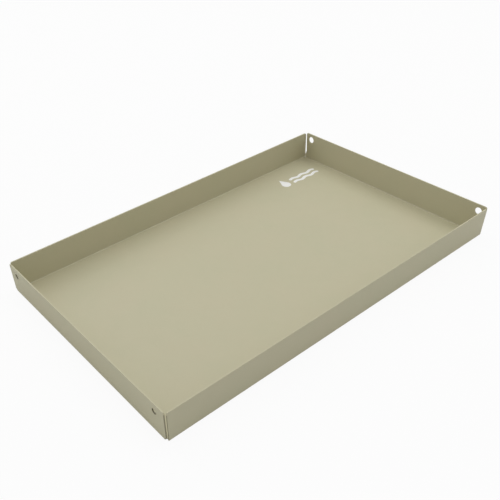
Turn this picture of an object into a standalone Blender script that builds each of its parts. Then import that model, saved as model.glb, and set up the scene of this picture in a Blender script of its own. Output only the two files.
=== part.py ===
"""Shallow rectangular pan folded from one steel sheet.

The floor and the four walls are one blank: each wall turns up from the floor through a bend of
constant radius and stands square to it. The walls are not joined to each other, so every corner
keeps an open slit from the rim down to the floor. The slits at the left end (-X) stand upright.
Those at the right end (+X) lean, because the walls' ends are cut at a slant there, and they close
to a point at the foot. The short walls carry a round hole near each of their top corners, small
ones in the left wall and larger ones in the right wall.

Frame: origin at the centre of the underside, +X along the length, +Y across the width, +Z up.
All lengths are in metres.
"""

import math

import bmesh
import bpy

# ---------------------------------------------------------------- driving dimensions
LENGTH = 0.500  # outside, over the short walls
WIDTH = 0.300  # outside, over the long walls
HEIGHT = 0.040  # underside to rim
SHEET = 0.0015  # sheet thickness

BEND_IN = SHEET  # inside bend radius
BEND_OUT = BEND_IN + SHEET
BEND_STEPS = 8  # flats in each quarter bend
FLOOR_X = LENGTH / 2 - BEND_OUT  # ends of the flat floor
FLOOR_Y = WIDTH / 2 - BEND_OUT

# In all the tables below, keys -1 and +1 are the left and the right end of the pan.
# "Inset" is a distance inwards from the pan's outer corner, measured along the wall.

LEFT_BEND_INSET = 0.0044  # ends of the left wall's bend
# straight part of each short wall, upwards from its bend: (height, inset of the wall's ends)
SHORT_WALL_LEVELS = {
    -1: ((0.0048, 0.0019), (HEIGHT, 0.0024)),
    +1: ((0.0060, 0.0022), (0.0115, 0.0041), (HEIGHT, 0.0013)),
}

# ends of the long walls: (inset at the foot, inset at the rim)
LONG_WALL_INSETS = {-1: (0.0023, 0.0023), +1: (0.0000, 0.0033)}
NARROW_STEPS = 3  # flats of the long walls' bends below the one that widens to the full length
LONG_BEND_BACK = 0.0014  # how far the long walls' bends stop short of the floor's left corners

CORNER_R = {-1: 0.0020, +1: 0.0028}  # rounding of the walls' top corners
CORNER_STEPS = 5

HOLE_R = {-1: 0.00325, +1: 0.0045}
HOLE_SIDES = 40
HOLE_PLACES = {-1: (0.0168, 0.0103), +1: (0.0111, 0.0086)}  # centre: (inset, drop from the rim)
PUNCH_DEPTH = 8 * SHEET  # passes well clear of both faces of the wall

TOLERANCE = 1e-6  # for picking vertices by their place

# powder coat: a warm grey-green, matt
COAT_COLOUR = (0.515, 0.483, 0.329, 1.0)
COAT_ROUGHNESS = 0.62


# ---------------------------------------------------------------- scene and object helpers
def clear_scene():
    for obj in list(bpy.data.objects):
        bpy.data.objects.remove(obj, do_unlink=True)


def add_collection(name):
    made = bpy.data.collections.new(name)
    bpy.context.scene.collection.children.link(made)
    return made


def add_object(name, shape, into):
    """Turns a finished bmesh into an object in the given collection."""
    mesh = bpy.data.meshes.new(name)
    shape.to_mesh(mesh)
    shape.free()
    obj = bpy.data.objects.new(name, mesh)
    into.objects.link(obj)
    return obj


def powder_coat():
    material = bpy.data.materials.new("powder_coat")
    material.use_nodes = True
    shader = material.node_tree.nodes["Principled BSDF"]
    shader.inputs["Base Color"].default_value = COAT_COLOUR
    shader.inputs["Roughness"].default_value = COAT_ROUGHNESS
    shader.inputs["Metallic"].default_value = 0.0
    material.diffuse_color = COAT_COLOUR
    return material


# ---------------------------------------------------------------- folding
def floor_edge(skin, axis, place):
    """The longest open edge of the floor that lies at a place on the given axis."""

    def on_line(vert):
        return abs(vert.co[axis] - place) < TOLERANCE and abs(vert.co.z) < TOLERANCE

    found = [edge for edge in skin.edges if edge.is_boundary and all(map(on_line, edge.verts))]
    return max(found, key=lambda edge: edge.calc_length())


def turn_up(skin, edge, centre, axis, angle, steps):
    """Bends the sheet up from an edge by some flats of a bend; returns the edge reached.

    The angle is that of the whole bend.
    """
    done = bmesh.ops.spin(
        skin,
        geom=[edge, *edge.verts],
        cent=centre,
        axis=axis,
        angle=angle * steps / BEND_STEPS,
        steps=steps,
        use_merge=False,
        use_duplicate=False,
    )
    return next(item for item in done["geom_last"] if isinstance(item, bmesh.types.BMEdge))


def raise_edge(skin, edge, rise):
    """Extends a wall upwards from its top edge; returns the new top edge."""
    done = bmesh.ops.extrude_edge_only(skin, edges=[edge])
    top = next(item for item in done["geom"] if isinstance(item, bmesh.types.BMEdge))
    for vert in top.verts:
        vert.co.z += rise
    return top


def put_ends(edge, axis, low, high):
    """Sets where the edge's two ends lie on the given axis."""
    for vert in edge.verts:
        vert.co[axis] = high if vert.co[axis] > 0 else low


# ---------------------------------------------------------------- the pan's outside surface
def floor_sheet():
    """The flat floor; extra corners mark where the bends at the left end stop."""
    bend_x = LONG_BEND_BACK - FLOOR_X
    bend_y = WIDTH / 2 - LEFT_BEND_INSET
    outline = (
        (FLOOR_X, -FLOOR_Y),
        (FLOOR_X, FLOOR_Y),
        (bend_x, FLOOR_Y),
        (-FLOOR_X, FLOOR_Y),
        (-FLOOR_X, bend_y),
        (-FLOOR_X, -bend_y),
        (-FLOOR_X, -FLOOR_Y),
        (bend_x, -FLOOR_Y),
    )
    skin = bmesh.new()
    skin.faces.new([skin.verts.new((x, y, 0.0)) for x, y in outline])
    return skin


def fold_short_wall(skin, side):
    """The wall on the left (-1) or the right (+1)."""
    centre = (side * FLOOR_X, 0, BEND_OUT)
    edge = floor_edge(skin, 0, side * FLOOR_X)
    edge = turn_up(skin, edge, centre, (0, side, 0), -math.pi / 2, BEND_STEPS)
    reached = BEND_OUT
    for height, inset in SHORT_WALL_LEVELS[side]:
        edge = raise_edge(skin, edge, height - reached)
        put_ends(edge, 1, inset - WIDTH / 2, WIDTH / 2 - inset)
        reached = height


def fold_long_wall(skin, side):
    """The wall at the front (-1, -Y) or the back (+1, +Y)."""
    left_foot, left_rim = LONG_WALL_INSETS[-1]
    right_foot, right_rim = LONG_WALL_INSETS[+1]
    bend = ((0, side * FLOOR_Y, BEND_OUT), (side, 0, 0), math.pi / 2)
    edge = floor_edge(skin, 1, side * FLOOR_Y)
    edge = turn_up(skin, edge, *bend, NARROW_STEPS)
    # one flat widens the sheet to the wall's full length
    edge = turn_up(skin, edge, *bend, 1)
    put_ends(edge, 0, left_foot - LENGTH / 2, LENGTH / 2 - right_foot)
    edge = turn_up(skin, edge, *bend, BEND_STEPS - NARROW_STEPS - 1)
    edge = raise_edge(skin, edge, HEIGHT - BEND_OUT)
    put_ends(edge, 0, left_rim - LENGTH / 2, LENGTH / 2 - right_rim)


def round_top_corners(skin, side):
    """Rounds the walls' top corners at one end of the pan."""
    corners = [
        vert for vert in skin.verts if vert.co.z > HEIGHT - TOLERANCE and vert.co.x * side > 0
    ]
    bmesh.ops.bevel(
        skin,
        geom=corners,
        offset=CORNER_R[side],
        offset_type="OFFSET",
        segments=CORNER_STEPS,
        profile=0.5,
        affect="VERTICES",
    )


def outer_skin():
    """The underside of the floor, and the outside of the bends and walls."""
    skin = floor_sheet()
    for side in (-1, 1):
        fold_short_wall(skin, side)
        fold_long_wall(skin, side)
    for side in (-1, 1):
        round_top_corners(skin, side)

    # the floor must face down, so that the sheet thickens towards the inside of the pan
    bmesh.ops.recalc_face_normals(skin, faces=skin.faces)
    floor = max(skin.faces, key=lambda face: face.calc_area())
    if floor.normal.z > 0:
        bmesh.ops.reverse_faces(skin, faces=skin.faces)
    return skin


# ---------------------------------------------------------------- pieces
def hole_punch(name, side, end, into):
    """A round cutter along X through one short wall, near its front (-1) or back (+1) end."""
    inset, drop = HOLE_PLACES[side]
    cylinder = bmesh.new()
    bmesh.ops.create_cone(
        cylinder,
        cap_ends=True,
        segments=HOLE_SIDES,
        radius1=HOLE_R[side],
        radius2=HOLE_R[side],
        depth=PUNCH_DEPTH,
    )
    punch = add_object(name, cylinder, into)
    punch.rotation_euler = (0, math.pi / 2, 0)
    punch.location = (
        side * (LENGTH / 2 - SHEET / 2),
        end * (WIDTH / 2 - inset),
        HEIGHT - drop,
    )
    punch.display_type = "WIRE"
    punch.hide_render = True
    return punch


def thicken(pan):
    """Gives the outside surface the sheet's thickness, inwards."""
    sheet = pan.modifiers.new("sheet_thickness", "SOLIDIFY")
    sheet.thickness = SHEET
    sheet.offset = -1.0
    sheet.use_even_offset = True
    sheet.use_rim = True


def punch_holes(pan, cutters):
    for side, side_name in ((-1, "left"), (1, "right")):
        for end, end_name in ((-1, "front"), (1, "back")):
            name = f"punch_{side_name}_{end_name}"
            cut = pan.modifiers.new(name, "BOOLEAN")
            cut.operation = "DIFFERENCE"
            cut.solver = "EXACT"
            cut.object = hole_punch(name, side, end, cutters)


def build():
    clear_scene()
    parts = add_collection("folded_sheet_pan")
    cutters = add_collection("folded_sheet_pan_cutters")
    cutters.hide_render = True

    pan = add_object("folded_pan", outer_skin(), parts)
    pan.data.materials.append(powder_coat())
    thicken(pan)
    punch_holes(pan, cutters)
    pan.data.shade_smooth()
    pan.data.set_sharp_from_angle(angle=math.radians(30))


build()
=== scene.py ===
"""Looks for the folded sheet pan: the powder-coated sheet with its bends, rounded edges and punched
holes, the white printed pictogram on its floor, a pale stage, soft light and the camera."""

import math

import bmesh
import bpy
from mathutils import Matrix, Vector


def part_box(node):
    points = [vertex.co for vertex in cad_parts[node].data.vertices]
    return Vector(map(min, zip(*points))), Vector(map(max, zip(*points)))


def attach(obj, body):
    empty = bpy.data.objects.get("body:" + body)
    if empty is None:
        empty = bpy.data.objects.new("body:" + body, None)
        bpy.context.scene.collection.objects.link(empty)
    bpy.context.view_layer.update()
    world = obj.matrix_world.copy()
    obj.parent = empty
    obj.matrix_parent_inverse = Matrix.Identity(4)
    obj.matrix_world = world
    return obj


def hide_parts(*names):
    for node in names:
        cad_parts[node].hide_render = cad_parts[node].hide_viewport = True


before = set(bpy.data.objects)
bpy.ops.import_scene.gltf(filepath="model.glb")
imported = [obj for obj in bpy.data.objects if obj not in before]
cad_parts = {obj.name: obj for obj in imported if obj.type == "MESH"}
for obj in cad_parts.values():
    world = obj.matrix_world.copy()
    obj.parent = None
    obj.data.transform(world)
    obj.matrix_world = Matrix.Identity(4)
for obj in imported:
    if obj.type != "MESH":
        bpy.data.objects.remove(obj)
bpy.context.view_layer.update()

# ------------------------------------------------------------------ sizes, all from the CAD frame
LO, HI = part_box("folded_pan")
LENGTH, WIDTH, HEIGHT = HI.x - LO.x, HI.y - LO.y, HI.z - LO.z
SHEET = 0.0015
BEND_OUT = 0.0030
BEND_STEPS = 14
WIDEN_STEP = 5  # the long walls reach their full length from this flat of their bend on
# end of the pan (-1 or +1 on X): (height, distance of the wall's end from the outer corner)
LONG_WALL_ENDS = {-1: ((0.003, 0.0023), (0.040, 0.0023)), +1: ((0.003, 0.0000), (0.040, 0.0033))}
SHORT_WALL_ENDS = {
    -1: ((0.003, 0.0044), (0.0048, 0.0019), (0.040, 0.0024)),
    +1: ((0.003, 0.0030), (0.0060, 0.0022), (0.0115, 0.0041), (0.040, 0.0013)),
}
LONG_BEND_BACK = 0.0014  # how far the long walls' bends stop short of the floor's left corners
CORNER_R = {-1: 0.0020, +1: 0.0028}
CORNER_STEPS = 8
HOLE_R = {-1: 0.00325, +1: 0.0045}
HOLE_SIDES = 64
HOLE_PLACES = {-1: (0.0168, 0.0103), +1: (0.0111, 0.0086)}
EDGE_R = 0.00032  # the coat rounds every cut edge


# ------------------------------------------------------------------ small helpers
def link(obj):
    bpy.context.scene.collection.objects.link(obj)
    return obj


def evaluated_copy(obj, name):
    """A plain mesh object holding obj with its modifiers applied."""
    graph = bpy.context.evaluated_depsgraph_get()
    mesh = bpy.data.meshes.new_from_object(obj.evaluated_get(graph), depsgraph=graph)
    mesh.name = name
    return link(bpy.data.objects.new(name, mesh))


class Nodes:
    """Short way to write a node tree."""

    def __init__(self, material):
        material.use_nodes = True
        self.tree = material.node_tree
        self.tree.nodes.clear()

    def add(self, kind, inputs=None, **settings):
        node = self.tree.nodes.new(kind)
        for key, value in settings.items():
            setattr(node, key, value)
        for key, value in (inputs or {}).items():
            socket = node.inputs[key]
            if isinstance(value, bpy.types.NodeSocket):
                self.tree.links.new(value, socket)
            else:
                socket.default_value = value
        return node

    def noise(self, vector, scale, detail=2.0, rough=0.5):
        return self.add(
            "ShaderNodeTexNoise",
            {"Vector": vector, "Scale": scale, "Detail": detail, "Roughness": rough},
        ).outputs["Fac"]

    def ramp(self, value, low, high, out_low=0.0, out_high=1.0):
        return self.add(
            "ShaderNodeMapRange",
            {
                "Value": value,
                "From Min": low,
                "From Max": high,
                "To Min": out_low,
                "To Max": out_high,
            },
        ).outputs["Result"]

    def math(self, operation, a, b):
        return self.add(
            "ShaderNodeMath", {0: a, 1: b}, operation=operation
        ).outputs[0]

    def mix(self, factor, a, b, blend="MIX"):
        node = self.add("ShaderNodeMix", data_type="RGBA", blend_type=blend)
        for name, value in (("Factor", factor), ("A", a), ("B", b)):
            socket = next(
                s
                for s in node.inputs
                if s.name == name and s.type == ("VALUE" if name == "Factor" else "RGBA")
            )
            if isinstance(value, bpy.types.NodeSocket):
                self.tree.links.new(value, socket)
            else:
                socket.default_value = value
        return next(s for s in node.outputs if s.type == "RGBA")


# ------------------------------------------------------------------ the folded sheet
def longest_edge(bm, test):
    found = [e for e in bm.edges if e.is_boundary and all(test(v.co) for v in e.verts)]
    return max(found, key=lambda e: e.calc_length())


def turn_up(bm, edge, centre, axis, angle, steps):
    done = bmesh.ops.spin(
        bm,
        geom=[edge, *edge.verts],
        cent=centre,
        axis=axis,
        angle=angle * steps / BEND_STEPS,
        steps=steps,
        use_merge=False,
        use_duplicate=False,
    )
    return next(g for g in done["geom_last"] if isinstance(g, bmesh.types.BMEdge))


def raise_edge(bm, edge, rise):
    done = bmesh.ops.extrude_edge_only(bm, edges=[edge])
    for v in (g for g in done["geom"] if isinstance(g, bmesh.types.BMVert)):
        v.co.z += rise
    return next(g for g in done["geom"] if isinstance(g, bmesh.types.BMEdge))


def put_ends(edge, along, low, high):
    for v in edge.verts:
        v.co[along] = high if v.co[along] > 0 else low


def outer_skin():
    half_x, half_y = LENGTH / 2 - BEND_OUT, WIDTH / 2 - BEND_OUT
    bend_y = WIDTH / 2 - SHORT_WALL_ENDS[-1][0][1]
    outline = (
        (half_x, -half_y),
        (half_x, half_y),
        (LONG_BEND_BACK - half_x, half_y),
        (-half_x, half_y),
        (-half_x, bend_y),
        (-half_x, -bend_y),
        (-half_x, -half_y),
        (LONG_BEND_BACK - half_x, -half_y),
    )
    bm = bmesh.new()
    bm.faces.new([bm.verts.new((x, y, 0.0)) for x, y in outline])
    for side in (-1, 1):
        edge = longest_edge(bm, lambda co: abs(co.x - side * half_x) < 1e-6)
        edge = turn_up(
            bm, edge, (side * half_x, 0, BEND_OUT), (0, side, 0), -math.pi / 2, BEND_STEPS
        )
        levels = SHORT_WALL_ENDS[side]
        for (z0, _), (z1, stop) in zip(levels, levels[1:]):
            edge = raise_edge(bm, edge, z1 - z0)
            put_ends(edge, 1, stop - WIDTH / 2, WIDTH / 2 - stop)
        edge = longest_edge(
            bm, lambda co: abs(co.y - side * half_y) < 1e-6 and abs(co.z) < 1e-6
        )
        bend = ((0, side * half_y, BEND_OUT), (side, 0, 0), math.pi / 2)
        edge = turn_up(bm, edge, *bend, WIDEN_STEP)
        edge = turn_up(bm, edge, *bend, 1)
        (foot, rim), (far_foot, far_rim) = (
            [stop for _, stop in LONG_WALL_ENDS[end]] for end in (-1, 1)
        )
        put_ends(edge, 0, foot - LENGTH / 2, LENGTH / 2 - far_foot)
        edge = turn_up(bm, edge, *bend, BEND_STEPS - WIDEN_STEP - 1)
        edge = raise_edge(bm, edge, HEIGHT - BEND_OUT)
        put_ends(edge, 0, rim - LENGTH / 2, LENGTH / 2 - far_rim)
    for side in (-1, 1):
        bmesh.ops.bevel(
            bm,
            geom=[v for v in bm.verts if v.co.z > HEIGHT - 1e-6 and v.co.x * side > 0.9 * half_x],
            offset=CORNER_R[side],
            offset_type="OFFSET",
            segments=CORNER_STEPS,
            profile=0.5,
            affect="VERTICES",
        )
    bmesh.ops.recalc_face_normals(bm, faces=bm.faces)
    if max(bm.faces, key=lambda f: f.calc_area()).normal.z > 0:
        bmesh.ops.reverse_faces(bm, faces=bm.faces)
    return bm


def punch(name, side, end):
    inset, drop = HOLE_PLACES[side]
    bm = bmesh.new()
    bmesh.ops.create_cone(
        bm,
        cap_ends=True,
        segments=HOLE_SIDES,
        radius1=HOLE_R[side],
        radius2=HOLE_R[side],
        depth=8 * SHEET,
    )
    mesh = bpy.data.meshes.new(name)
    bm.to_mesh(mesh)
    bm.free()
    obj = link(bpy.data.objects.new(name, mesh))
    obj.rotation_euler = (0, math.pi / 2, 0)
    obj.location = (
        side * (LENGTH / 2 - SHEET / 2),
        end * (WIDTH / 2 - inset),
        HEIGHT - drop,
    )
    obj.hide_render = True
    return obj


def soften(obj, test):
    """Marks the hard edges whose two ends both pass the test for the bevel, and the rest sharp."""
    bm = bmesh.new()
    bm.from_mesh(obj.data)
    weight = bm.edges.layers.float.new("bevel_weight_edge")
    for e in bm.edges:
        if len(e.link_faces) == 2 and e.calc_face_angle(0) > math.radians(40):
            rounded = all(test(v.co) for v in e.verts)
            e[weight] = 1.0 if rounded else 0.0
            e.smooth = rounded
    bm.to_mesh(obj.data)
    bm.free()


def folded_sheet():
    bm = outer_skin()
    mesh = bpy.data.meshes.new("sheet_work")
    bm.to_mesh(mesh)
    bm.free()
    work = link(bpy.data.objects.new("sheet_work", mesh))
    thick = work.modifiers.new("thickness", "SOLIDIFY")
    thick.thickness = SHEET
    thick.offset = -1.0
    thick.use_even_offset = True
    cutters = [punch(f"punch_{s}_{e}", s, e) for s in (-1, 1) for e in (-1, 1)]
    for cutter in cutters:
        cut = work.modifiers.new("cut", "BOOLEAN")
        cut.operation = "DIFFERENCE"
        cut.solver = "EXACT"
        cut.object = cutter
    sharp = evaluated_copy(work, "sheet_sharp")
    sharp.data.shade_smooth()
    inset, drop = HOLE_PLACES[-1]
    soften(
        sharp,
        lambda v: v.z > LO.z + BEND_OUT - 0.0001
        and (v.x > 0 or math.hypot(abs(v.y) - WIDTH / 2 + inset, v.z - HEIGHT + drop) > 0.004),
    )
    rounded = sharp.modifiers.new("edges", "BEVEL")
    rounded.width = EDGE_R
    rounded.segments = 3
    rounded.limit_method = "WEIGHT"
    rounded.use_clamp_overlap = True
    flat = sharp.modifiers.new("flat_shading", "WEIGHTED_NORMAL")
    flat.mode = "FACE_AREA"
    flat.weight = 100
    flat.keep_sharp = True
    sheet = evaluated_copy(sharp, "pan_sheet")
    for obj in [work, sharp, *cutters]:
        bpy.data.objects.remove(obj, do_unlink=True)
    return sheet


sheet = folded_sheet()


# ------------------------------------------------------------------ the printed pictogram
MARK_X, MARK_Y = 0.158, 0.0995  # its lower left corner on the floor
MARK_LENGTH, MARK_HEIGHT = 0.071, 0.0215
INK = 0.00006


def drop_outline(cx, y0, width, height, steps=48):
    """A drop: a round bottom whose sides run up to a point."""
    r = width / 2
    cy = y0 + r
    tip = Vector((cx, y0 + height))
    lean = math.asin(r / (tip.y - cy))  # where the straight sides leave the circle
    points = [tip]
    start, stop = math.pi - lean, 2 * math.pi + lean
    for i in range(steps + 1):
        a = start + (stop - start) * i / steps
        points.append(Vector((cx + r * math.cos(a), cy + r * math.sin(a))))
    return points


def wave_outline(x0, x1, y, thick, rise, waves, steps=72):
    """A wavy band with round ends."""
    def mid(t):
        return Vector((x0 + (x1 - x0) * t, y + rise * math.sin(2 * math.pi * waves * t)))

    def normal(t):
        d = mid(min(t + 1e-4, 1)) - mid(max(t - 1e-4, 0))
        return Vector((-d.y, d.x)).normalized()

    half = thick / 2
    upper = [mid(i / steps) + normal(i / steps) * half for i in range(steps + 1)]
    lower = [mid(i / steps) - normal(i / steps) * half for i in range(steps + 1)]
    ends = []
    for t, sign in ((1.0, 1), (0.0, -1)):
        n = normal(t)
        a0 = math.atan2(n.y, n.x) if sign > 0 else math.atan2(-n.y, -n.x)
        ends.append(
            [
                mid(t) + Vector((math.cos(a0 - math.pi * k / 8), math.sin(a0 - math.pi * k / 8))) * half
                for k in range(1, 8)
            ]
        )
    return [*upper, *ends[0], *reversed(lower), *ends[1]]


def ink_shape(name, outlines):
    """Flat printed shapes, each a closed film of ink."""
    bm = bmesh.new()
    for outline in outlines:
        base = [bm.verts.new((p.x, p.y, LO.z + SHEET - 0.5 * INK)) for p in outline]
        face = bm.faces.new(base)
        face.normal_update()
        if face.normal.z < 0:
            face.normal_flip()
        top = bmesh.ops.extrude_face_region(bm, geom=[face])
        verts = [g for g in top["geom"] if isinstance(g, bmesh.types.BMVert)]
        bmesh.ops.translate(bm, verts=verts, vec=(0, 0, 1.5 * INK))
    bmesh.ops.recalc_face_normals(bm, faces=bm.faces)
    mesh = bpy.data.meshes.new(name)
    bm.to_mesh(mesh)
    bm.free()
    return link(bpy.data.objects.new(name, mesh))


mark = ink_shape(
    "floor_print",
    [
        drop_outline(MARK_X + 0.0068, MARK_Y, 0.0136, MARK_HEIGHT),
        wave_outline(
            MARK_X + 0.0215, MARK_X + MARK_LENGTH - 0.0024, MARK_Y + 0.0038, 0.0046, 0.0012, 2.5
        ),
        wave_outline(
            MARK_X + 0.0215, MARK_X + MARK_LENGTH - 0.0024, MARK_Y + 0.0128, 0.0046, 0.0012, 2.5
        ),
    ],
)


# ------------------------------------------------------------------ materials
def powder_coat():
    """Matt powder coat: a warm grey-green with faint drift in tint, a fine grain and orange peel."""
    material = bpy.data.materials.new("coat_khaki")
    n = Nodes(material)
    place = n.add("ShaderNodeTexCoord").outputs["Object"]

    drift = n.ramp(n.noise(place, 16.0, 2.0), 0.30, 0.70)
    cloud = n.ramp(n.noise(place, 60.0, 3.0), 0.30, 0.70)
    grain = n.ramp(n.noise(place, 1700.0, 2.0), 0.30, 0.70)
    warm, green = (0.525, 0.486, 0.332, 1.0), (0.505, 0.485, 0.326, 1.0)
    tint = n.mix(drift, warm, green)
    tint = n.mix(n.ramp(cloud, 0, 1, 0.0, 0.5), tint, (0.531, 0.499, 0.341, 1.0))
    tint = n.mix(
        n.ramp(grain, 0, 1, 0.0, 0.22), tint, (0.477, 0.448, 0.299, 1.0)
    )

    # A dark tint painted inside the small holes of the left wall and on the cut ends of the walls
    # there. It stands in for shade that the lights don't give, and the coat itself needn't differ.
    inset, drop = HOLE_PLACES[-1]
    at = n.add("ShaderNodeSeparateXYZ", {"Vector": place}).outputs
    facing = n.add("ShaderNodeNewGeometry").outputs["True Normal"]
    facing = n.add("ShaderNodeSeparateXYZ", {"Vector": facing}).outputs
    side = n.math("ABSOLUTE", at["Y"], 0.0)
    across = n.math("SUBTRACT", side, WIDTH / 2 - inset)
    up = n.math("SUBTRACT", at["Z"], HEIGHT - drop)
    reach = n.math(
        "SQRT", n.math("ADD", n.math("MULTIPLY", across, across), n.math("MULTIPLY", up, up)), 0.0
    )
    left = n.math("LESS_THAN", at["X"], SHEET - LENGTH / 2 + 0.0001)
    painted_hole_shade = n.ramp(reach, HOLE_R[-1] + 0.00003, HOLE_R[-1] + 0.00030, 1.0, 0.0)
    tint = n.mix(n.math("MULTIPLY", painted_hole_shade, left), tint, (0.150, 0.136, 0.080, 1.0))
    # Painted shade on the cut ends of the walls at the left end, below the rim.
    short_end = n.math("MULTIPLY", left, n.math("GREATER_THAN", n.math("ABSOLUTE", facing["Y"], 0.0), 0.7))
    long_end = n.math(
        "MULTIPLY", n.math("GREATER_THAN", side, WIDTH / 2 - SHEET), n.math("LESS_THAN", facing["X"], -0.7)
    )
    cut = n.math("MULTIPLY", n.math("MAXIMUM", short_end, long_end), n.math("LESS_THAN", at["Z"], HEIGHT - 0.0030))
    tint = n.mix(n.math("MULTIPLY", cut, 0.75), tint, (0.230, 0.210, 0.130, 1.0))

    rough = n.ramp(n.noise(place, 420.0, 3.0), 0.25, 0.75, 0.50, 0.62)
    peel = n.noise(place, 620.0, 2.0, 0.45)
    fine = n.noise(place, 2600.0, 2.0, 0.5)
    height = n.math("ADD", peel, n.math("MULTIPLY", fine, 0.35))
    bump = n.add(
        "ShaderNodeBump", {"Strength": 0.55, "Distance": 0.00006, "Height": height}
    )
    shader = n.add(
        "ShaderNodeBsdfPrincipled",
        {
            "Base Color": tint,
            "Roughness": rough,
            "Metallic": 0.0,
            "IOR": 1.65,
            "Normal": bump.outputs["Normal"],
        },
    )
    n.add("ShaderNodeOutputMaterial", {"Surface": shader.outputs[0]})
    return material


def white_ink():
    """Screen-printed white ink: nearly opaque, a little uneven, following the coat's texture."""
    material = bpy.data.materials.new("white_ink")
    n = Nodes(material)
    place = n.add("ShaderNodeTexCoord").outputs["Object"]
    thin = n.ramp(n.noise(place, 900.0, 3.0), 0.35, 0.75)
    tint = n.mix(n.ramp(thin, 0, 1, 0.0, 0.10), (0.90, 0.90, 0.88, 1.0), (0.74, 0.73, 0.66, 1.0))
    rough = n.ramp(n.noise(place, 700.0, 2.0), 0.3, 0.7, 0.42, 0.55)
    bump = n.add(
        "ShaderNodeBump",
        {"Strength": 0.4, "Distance": 0.00004, "Height": n.noise(place, 620.0, 2.0, 0.45)},
    )
    shader = n.add(
        "ShaderNodeBsdfPrincipled",
        {
            "Base Color": tint,
            "Roughness": rough,
            "IOR": 1.5,
            "Normal": bump.outputs["Normal"],
        },
    )
    n.add("ShaderNodeOutputMaterial", {"Surface": shader.outputs[0]})
    return material


sheet.data.materials.clear()
sheet.data.materials.append(powder_coat())
mark.data.materials.clear()
mark.data.materials.append(white_ink())

for piece, slot in ((sheet, "powder_coat"), (mark, "printed_mark")):
    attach(piece, "root")
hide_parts("folded_pan")


# ------------------------------------------------------------------ stage
def stage_floor():
    """A pale sweep. It shows nearly white with a trace of contact shadow and bounces light as white
    card would. It is clear from below, and clear to light that leaves the underside lying on it,
    so that the underside can be looked at."""
    bm = bmesh.new()
    bmesh.ops.create_grid(bm, x_segments=1, y_segments=1, size=12.0)
    mesh = bpy.data.meshes.new("stage_floor")
    bm.to_mesh(mesh)
    bm.free()
    obj = link(bpy.data.objects.new("stage_floor", mesh))
    obj.location.z = LO.z - 0.0002
    material = bpy.data.materials.new("stage_white")
    n = Nodes(material)
    shown = n.add(
        "ShaderNodeAddShader",
        {
            0: n.add(
                "ShaderNodeEmission", {"Color": (1, 1, 1, 1), "Strength": 0.93}
            ).outputs[0],
            1: n.add("ShaderNodeBsdfDiffuse", {"Color": (0.05, 0.05, 0.05, 1)}).outputs[0],
        },
    ).outputs[0]
    bounce = n.add("ShaderNodeBsdfDiffuse", {"Color": (0.8, 0.8, 0.8, 1)}).outputs[0]
    path = n.add("ShaderNodeLightPath").outputs
    eye = path["Is Camera Ray"]
    lit = n.add("ShaderNodeMixShader", {0: eye, 1: bounce, 2: shown}).outputs[0]
    below = n.add("ShaderNodeNewGeometry").outputs["Backfacing"]
    close = n.math("MULTIPLY", n.math("LESS_THAN", path["Ray Length"], 0.0009), n.math("SUBTRACT", 1.0, eye))
    under = n.math("MAXIMUM", below, close)
    clear = n.add("ShaderNodeBsdfTransparent").outputs[0]
    out = n.add("ShaderNodeMixShader", {0: under, 1: lit, 2: clear}).outputs[0]
    n.add("ShaderNodeOutputMaterial", {"Surface": out})
    mesh.materials.append(material)
    return obj


stage_floor()


# ------------------------------------------------------------------ light
def softbox(name, place, aim, size, watts):
    data = bpy.data.lights.new(name, "AREA")
    data.shape = "RECTANGLE"
    data.size, data.size_y = size
    data.energy = watts
    obj = link(bpy.data.objects.new(name, data))
    obj.location = place
    obj.rotation_mode = "QUATERNION"
    obj.rotation_quaternion = (Vector(aim) - Vector(place)).to_track_quat("-Z", "Y")
    obj.visible_camera = False
    return obj


# Three rings of softboxes, all aimed at the pan: (name, azimuth, elevation, W).
# Azimuth is counted from +X towards +Y, in degrees.
LIGHT_DISTANCE, LIGHT_SIDE = 2.6, 1.2
LIGHTS = (
    ("top_right", 0, 78, 5.70),
    ("top_back", 90, 78, 2.85),
    ("top_front", 270, 78, 4.99),
    ("high_right", 0, 58, 9.77),
    ("high_back", 90, 58, 7.13),
    ("mid_back", 90, 35, 7.84),
    ("mid_back_left", 135, 35, 2.34),
    ("mid_front_right", 315, 35, 3.97),
    ("low_left", 180, 12, 6.82),
    ("low_front", 270, 12, 0.81),
    ("low_front_right", 315, 12, 3.05),
)
for name, azimuth, elevation, watts in LIGHTS:
    a, e = math.radians(azimuth), math.radians(elevation)
    place = LIGHT_DISTANCE * Vector(
        (math.cos(e) * math.cos(a), math.cos(e) * math.sin(a), math.sin(e))
    )
    softbox("softbox_" + name, place, (0, 0, 0), (LIGHT_SIDE, LIGHT_SIDE), watts)

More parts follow.
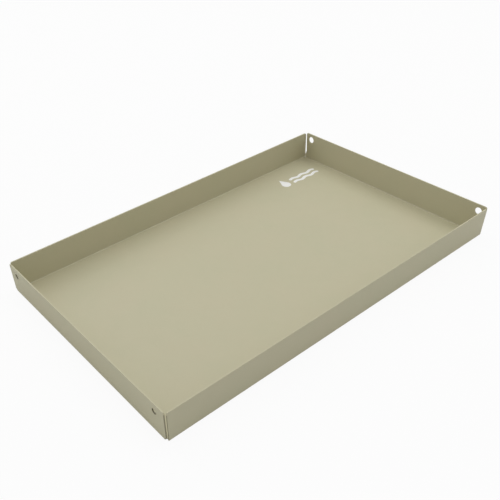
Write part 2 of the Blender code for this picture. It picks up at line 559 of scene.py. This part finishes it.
world = bpy.data.worlds.new("studio")
bpy.context.scene.world = world
world.use_nodes = True
n = Nodes(world)
eye = n.add("ShaderNodeLightPath").outputs["Is Camera Ray"]
seen = n.add("ShaderNodeBackground", {"Color": (1, 1, 1, 1), "Strength": 0.98}).outputs[0]
lights_all = n.add("ShaderNodeBackground", {"Color": (1, 1, 1, 1), "Strength": 0.422}).outputs[0]
mixed = n.add("ShaderNodeMixShader", {0: eye, 1: lights_all, 2: seen}).outputs[0]
n.add("ShaderNodeOutputWorld", {"Surface": mixed})
bpy.context.scene.view_settings.view_transform = "Standard"


# ------------------------------------------------------------------ camera
CAMERA_AT = Vector((-0.431450, -0.435030, 0.442660))
FORWARD = Vector((0.435360, 0.592433, -0.677853))
RIGHT = Vector((0.779746, -0.624478, -0.044982))
UP = Vector((0.449953, 0.508970, 0.733820))
LENS, SHIFT_X, SHIFT_Y = 43.413, 0.128428, 0.170896

camera_data = bpy.data.cameras.new("camera")
camera_data.sensor_width = 36.0
camera_data.lens = LENS
camera_data.clip_start, camera_data.clip_end = 0.01, 50.0
camera = link(bpy.data.objects.new("camera", camera_data))
turn = Matrix((RIGHT, UP, -FORWARD)).transposed()
camera.matrix_world = Matrix.Translation(CAMERA_AT) @ turn.to_4x4()
bpy.context.scene.camera = camera


def shift_at_this_place_only(path, value):
    """The picture is framed off the lens axis. The shift holds while the camera stands where it
    was put, and is zero wherever else the camera is moved, so that an orbit stays centred."""
    driver = camera_data.driver_add(path).driver
    driver.type = "SCRIPTED"
    for name, channel in (("x", "LOC_X"), ("y", "LOC_Y")):
        var = driver.variables.new()
        var.name = name
        var.type = "TRANSFORMS"
        var.targets[0].id = camera
        var.targets[0].transform_type = channel
        var.targets[0].transform_space = "WORLD_SPACE"
    driver.expression = (
        f"{value} if abs(x - {CAMERA_AT.x:.5f}) + abs(y - {CAMERA_AT.y:.5f}) < 0.001 else 0.0"
    )


shift_at_this_place_only("shift_x", SHIFT_X)
shift_at_this_place_only("shift_y", SHIFT_Y)
